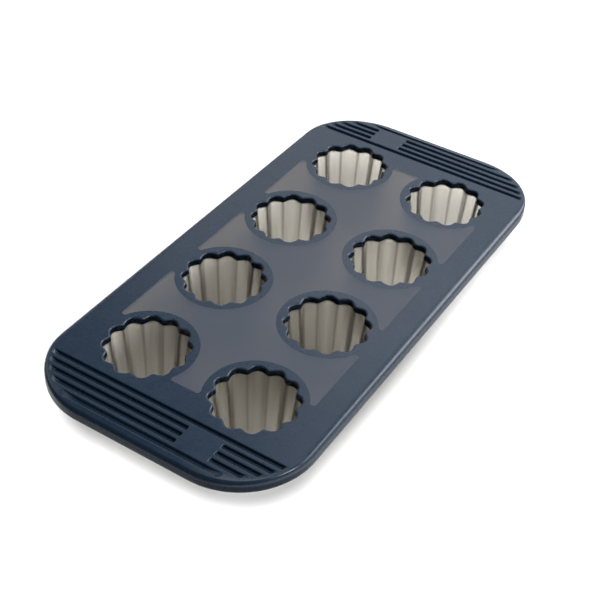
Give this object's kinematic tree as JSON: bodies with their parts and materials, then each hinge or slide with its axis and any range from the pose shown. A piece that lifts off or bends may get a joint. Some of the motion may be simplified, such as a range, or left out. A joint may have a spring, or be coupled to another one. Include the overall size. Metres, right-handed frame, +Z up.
{
  "type": "canele mould",
  "caption": "Silicone baking mould: a dark rounded frame with ribbed end grips, a translucent web, and tapered fluted cups that stand on flat feet.",
  "frame": {"origin": "centre of the plane that the cup feet stand on, under the middle of the tray", "axes": "+Z up, +Y along the tray towards its far grip, +X across the tray to the right"},
  "size_m": [0.1778, 0.3662, 0.052],
  "materials": {
    "frame_silicone": "satin dark blue-grey silicone, opaque",
    "web_silicone": "satin taupe-grey silicone, translucent",
    "cup_silicone": "matt beige silicone, translucent"
  },
  "bodies": {
    "root": {"frame": "frame_silicone", "web": "web_silicone", "cup_left_1": "cup_silicone", "cup_left_2": "cup_silicone", "cup_left_3": "cup_silicone", "cup_left_4": "cup_silicone", "cup_right_1": "cup_silicone", "cup_right_2": "cup_silicone", "cup_right_3": "cup_silicone", "cup_right_4": "cup_silicone"}
  },
  "joints": []
}
